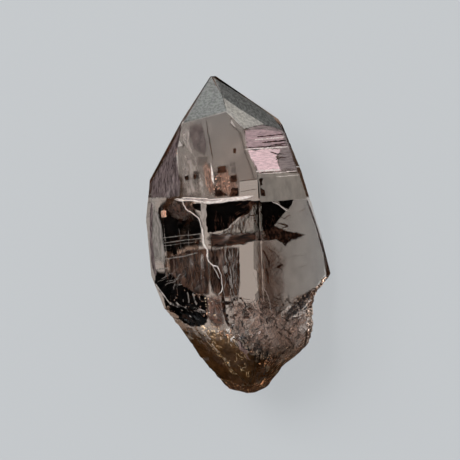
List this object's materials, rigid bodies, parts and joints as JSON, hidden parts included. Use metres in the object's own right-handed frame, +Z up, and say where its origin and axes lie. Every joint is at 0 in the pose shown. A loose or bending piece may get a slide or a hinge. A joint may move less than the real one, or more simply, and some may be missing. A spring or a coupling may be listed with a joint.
{
  "type": "smoky quartz crystal",
  "caption": "Single smoky quartz crystal with a six-sided prism, a pointed tip, stepped ledges, a broken rounded base and black and brown minerals enclosed in it, lying on its back face.",
  "frame": {"origin": "on the back prism face that the crystal rests on, under the crystal's centre point", "axes": "+Y along the crystal's long axis towards its tip, +Z up, out of the large front prism face"},
  "size_m": [0.0243, 0.045, 0.017],
  "materials": {
    "smoky_quartz": "clear to smoky, glossy grown faces and a rougher broken base",
    "dark_inclusion": "black to dark brown mineral enclosed in the crystal",
    "pale_fracture": "pale healed crack inside the crystal that catches the light"
  },
  "bodies": {
    "root": {"crystal": "smoky_quartz", "crystal_front": "smoky_quartz", "black_wedge": "dark_inclusion", "brown_spear": "dark_inclusion", "black_block": "dark_inclusion", "black_patch": "dark_inclusion"}
  },
  "joints": []
}
